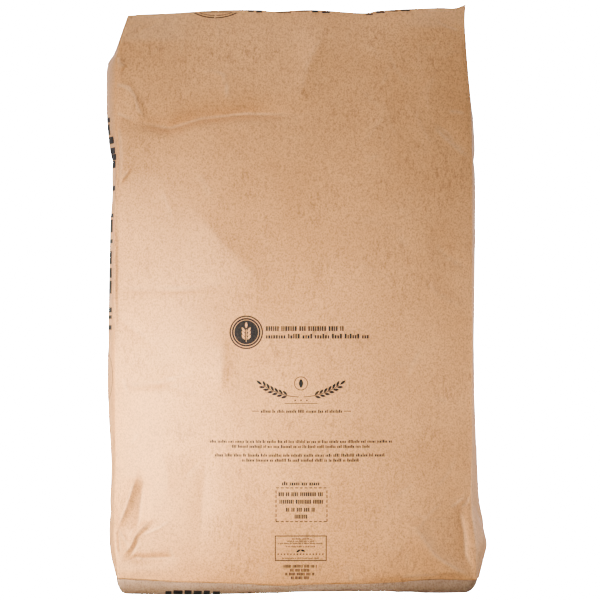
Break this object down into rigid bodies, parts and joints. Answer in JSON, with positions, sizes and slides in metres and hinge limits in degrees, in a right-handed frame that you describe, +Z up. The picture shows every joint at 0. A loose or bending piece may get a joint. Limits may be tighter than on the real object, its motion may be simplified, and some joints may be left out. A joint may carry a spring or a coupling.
{
  "type": "bag of flour",
  "caption": "Full kraft paper flour sack with side gussets and flat pasted ends, standing upright.",
  "frame": {"origin": "middle of the sack's footprint box, on the surface that it stands on", "axes": "+Z up along the sack, +X to the right across the shown panel, -Y out of the shown panel towards the viewer"},
  "size_m": [0.4026, 0.1682, 0.6168],
  "materials": {
    "kraft_paper": "matt unbleached kraft with fine lengthwise fibre streaks",
    "end_paper": "matt greyer kraft, pasted on",
    "print_ink": "one dark brown ink, soaked a little unevenly into the kraft"
  },
  "bodies": {
    "root": {"sack": "kraft_paper", "bottom_sheet": "end_paper", "top_sheet": "end_paper"}
  },
  "joints": []
}
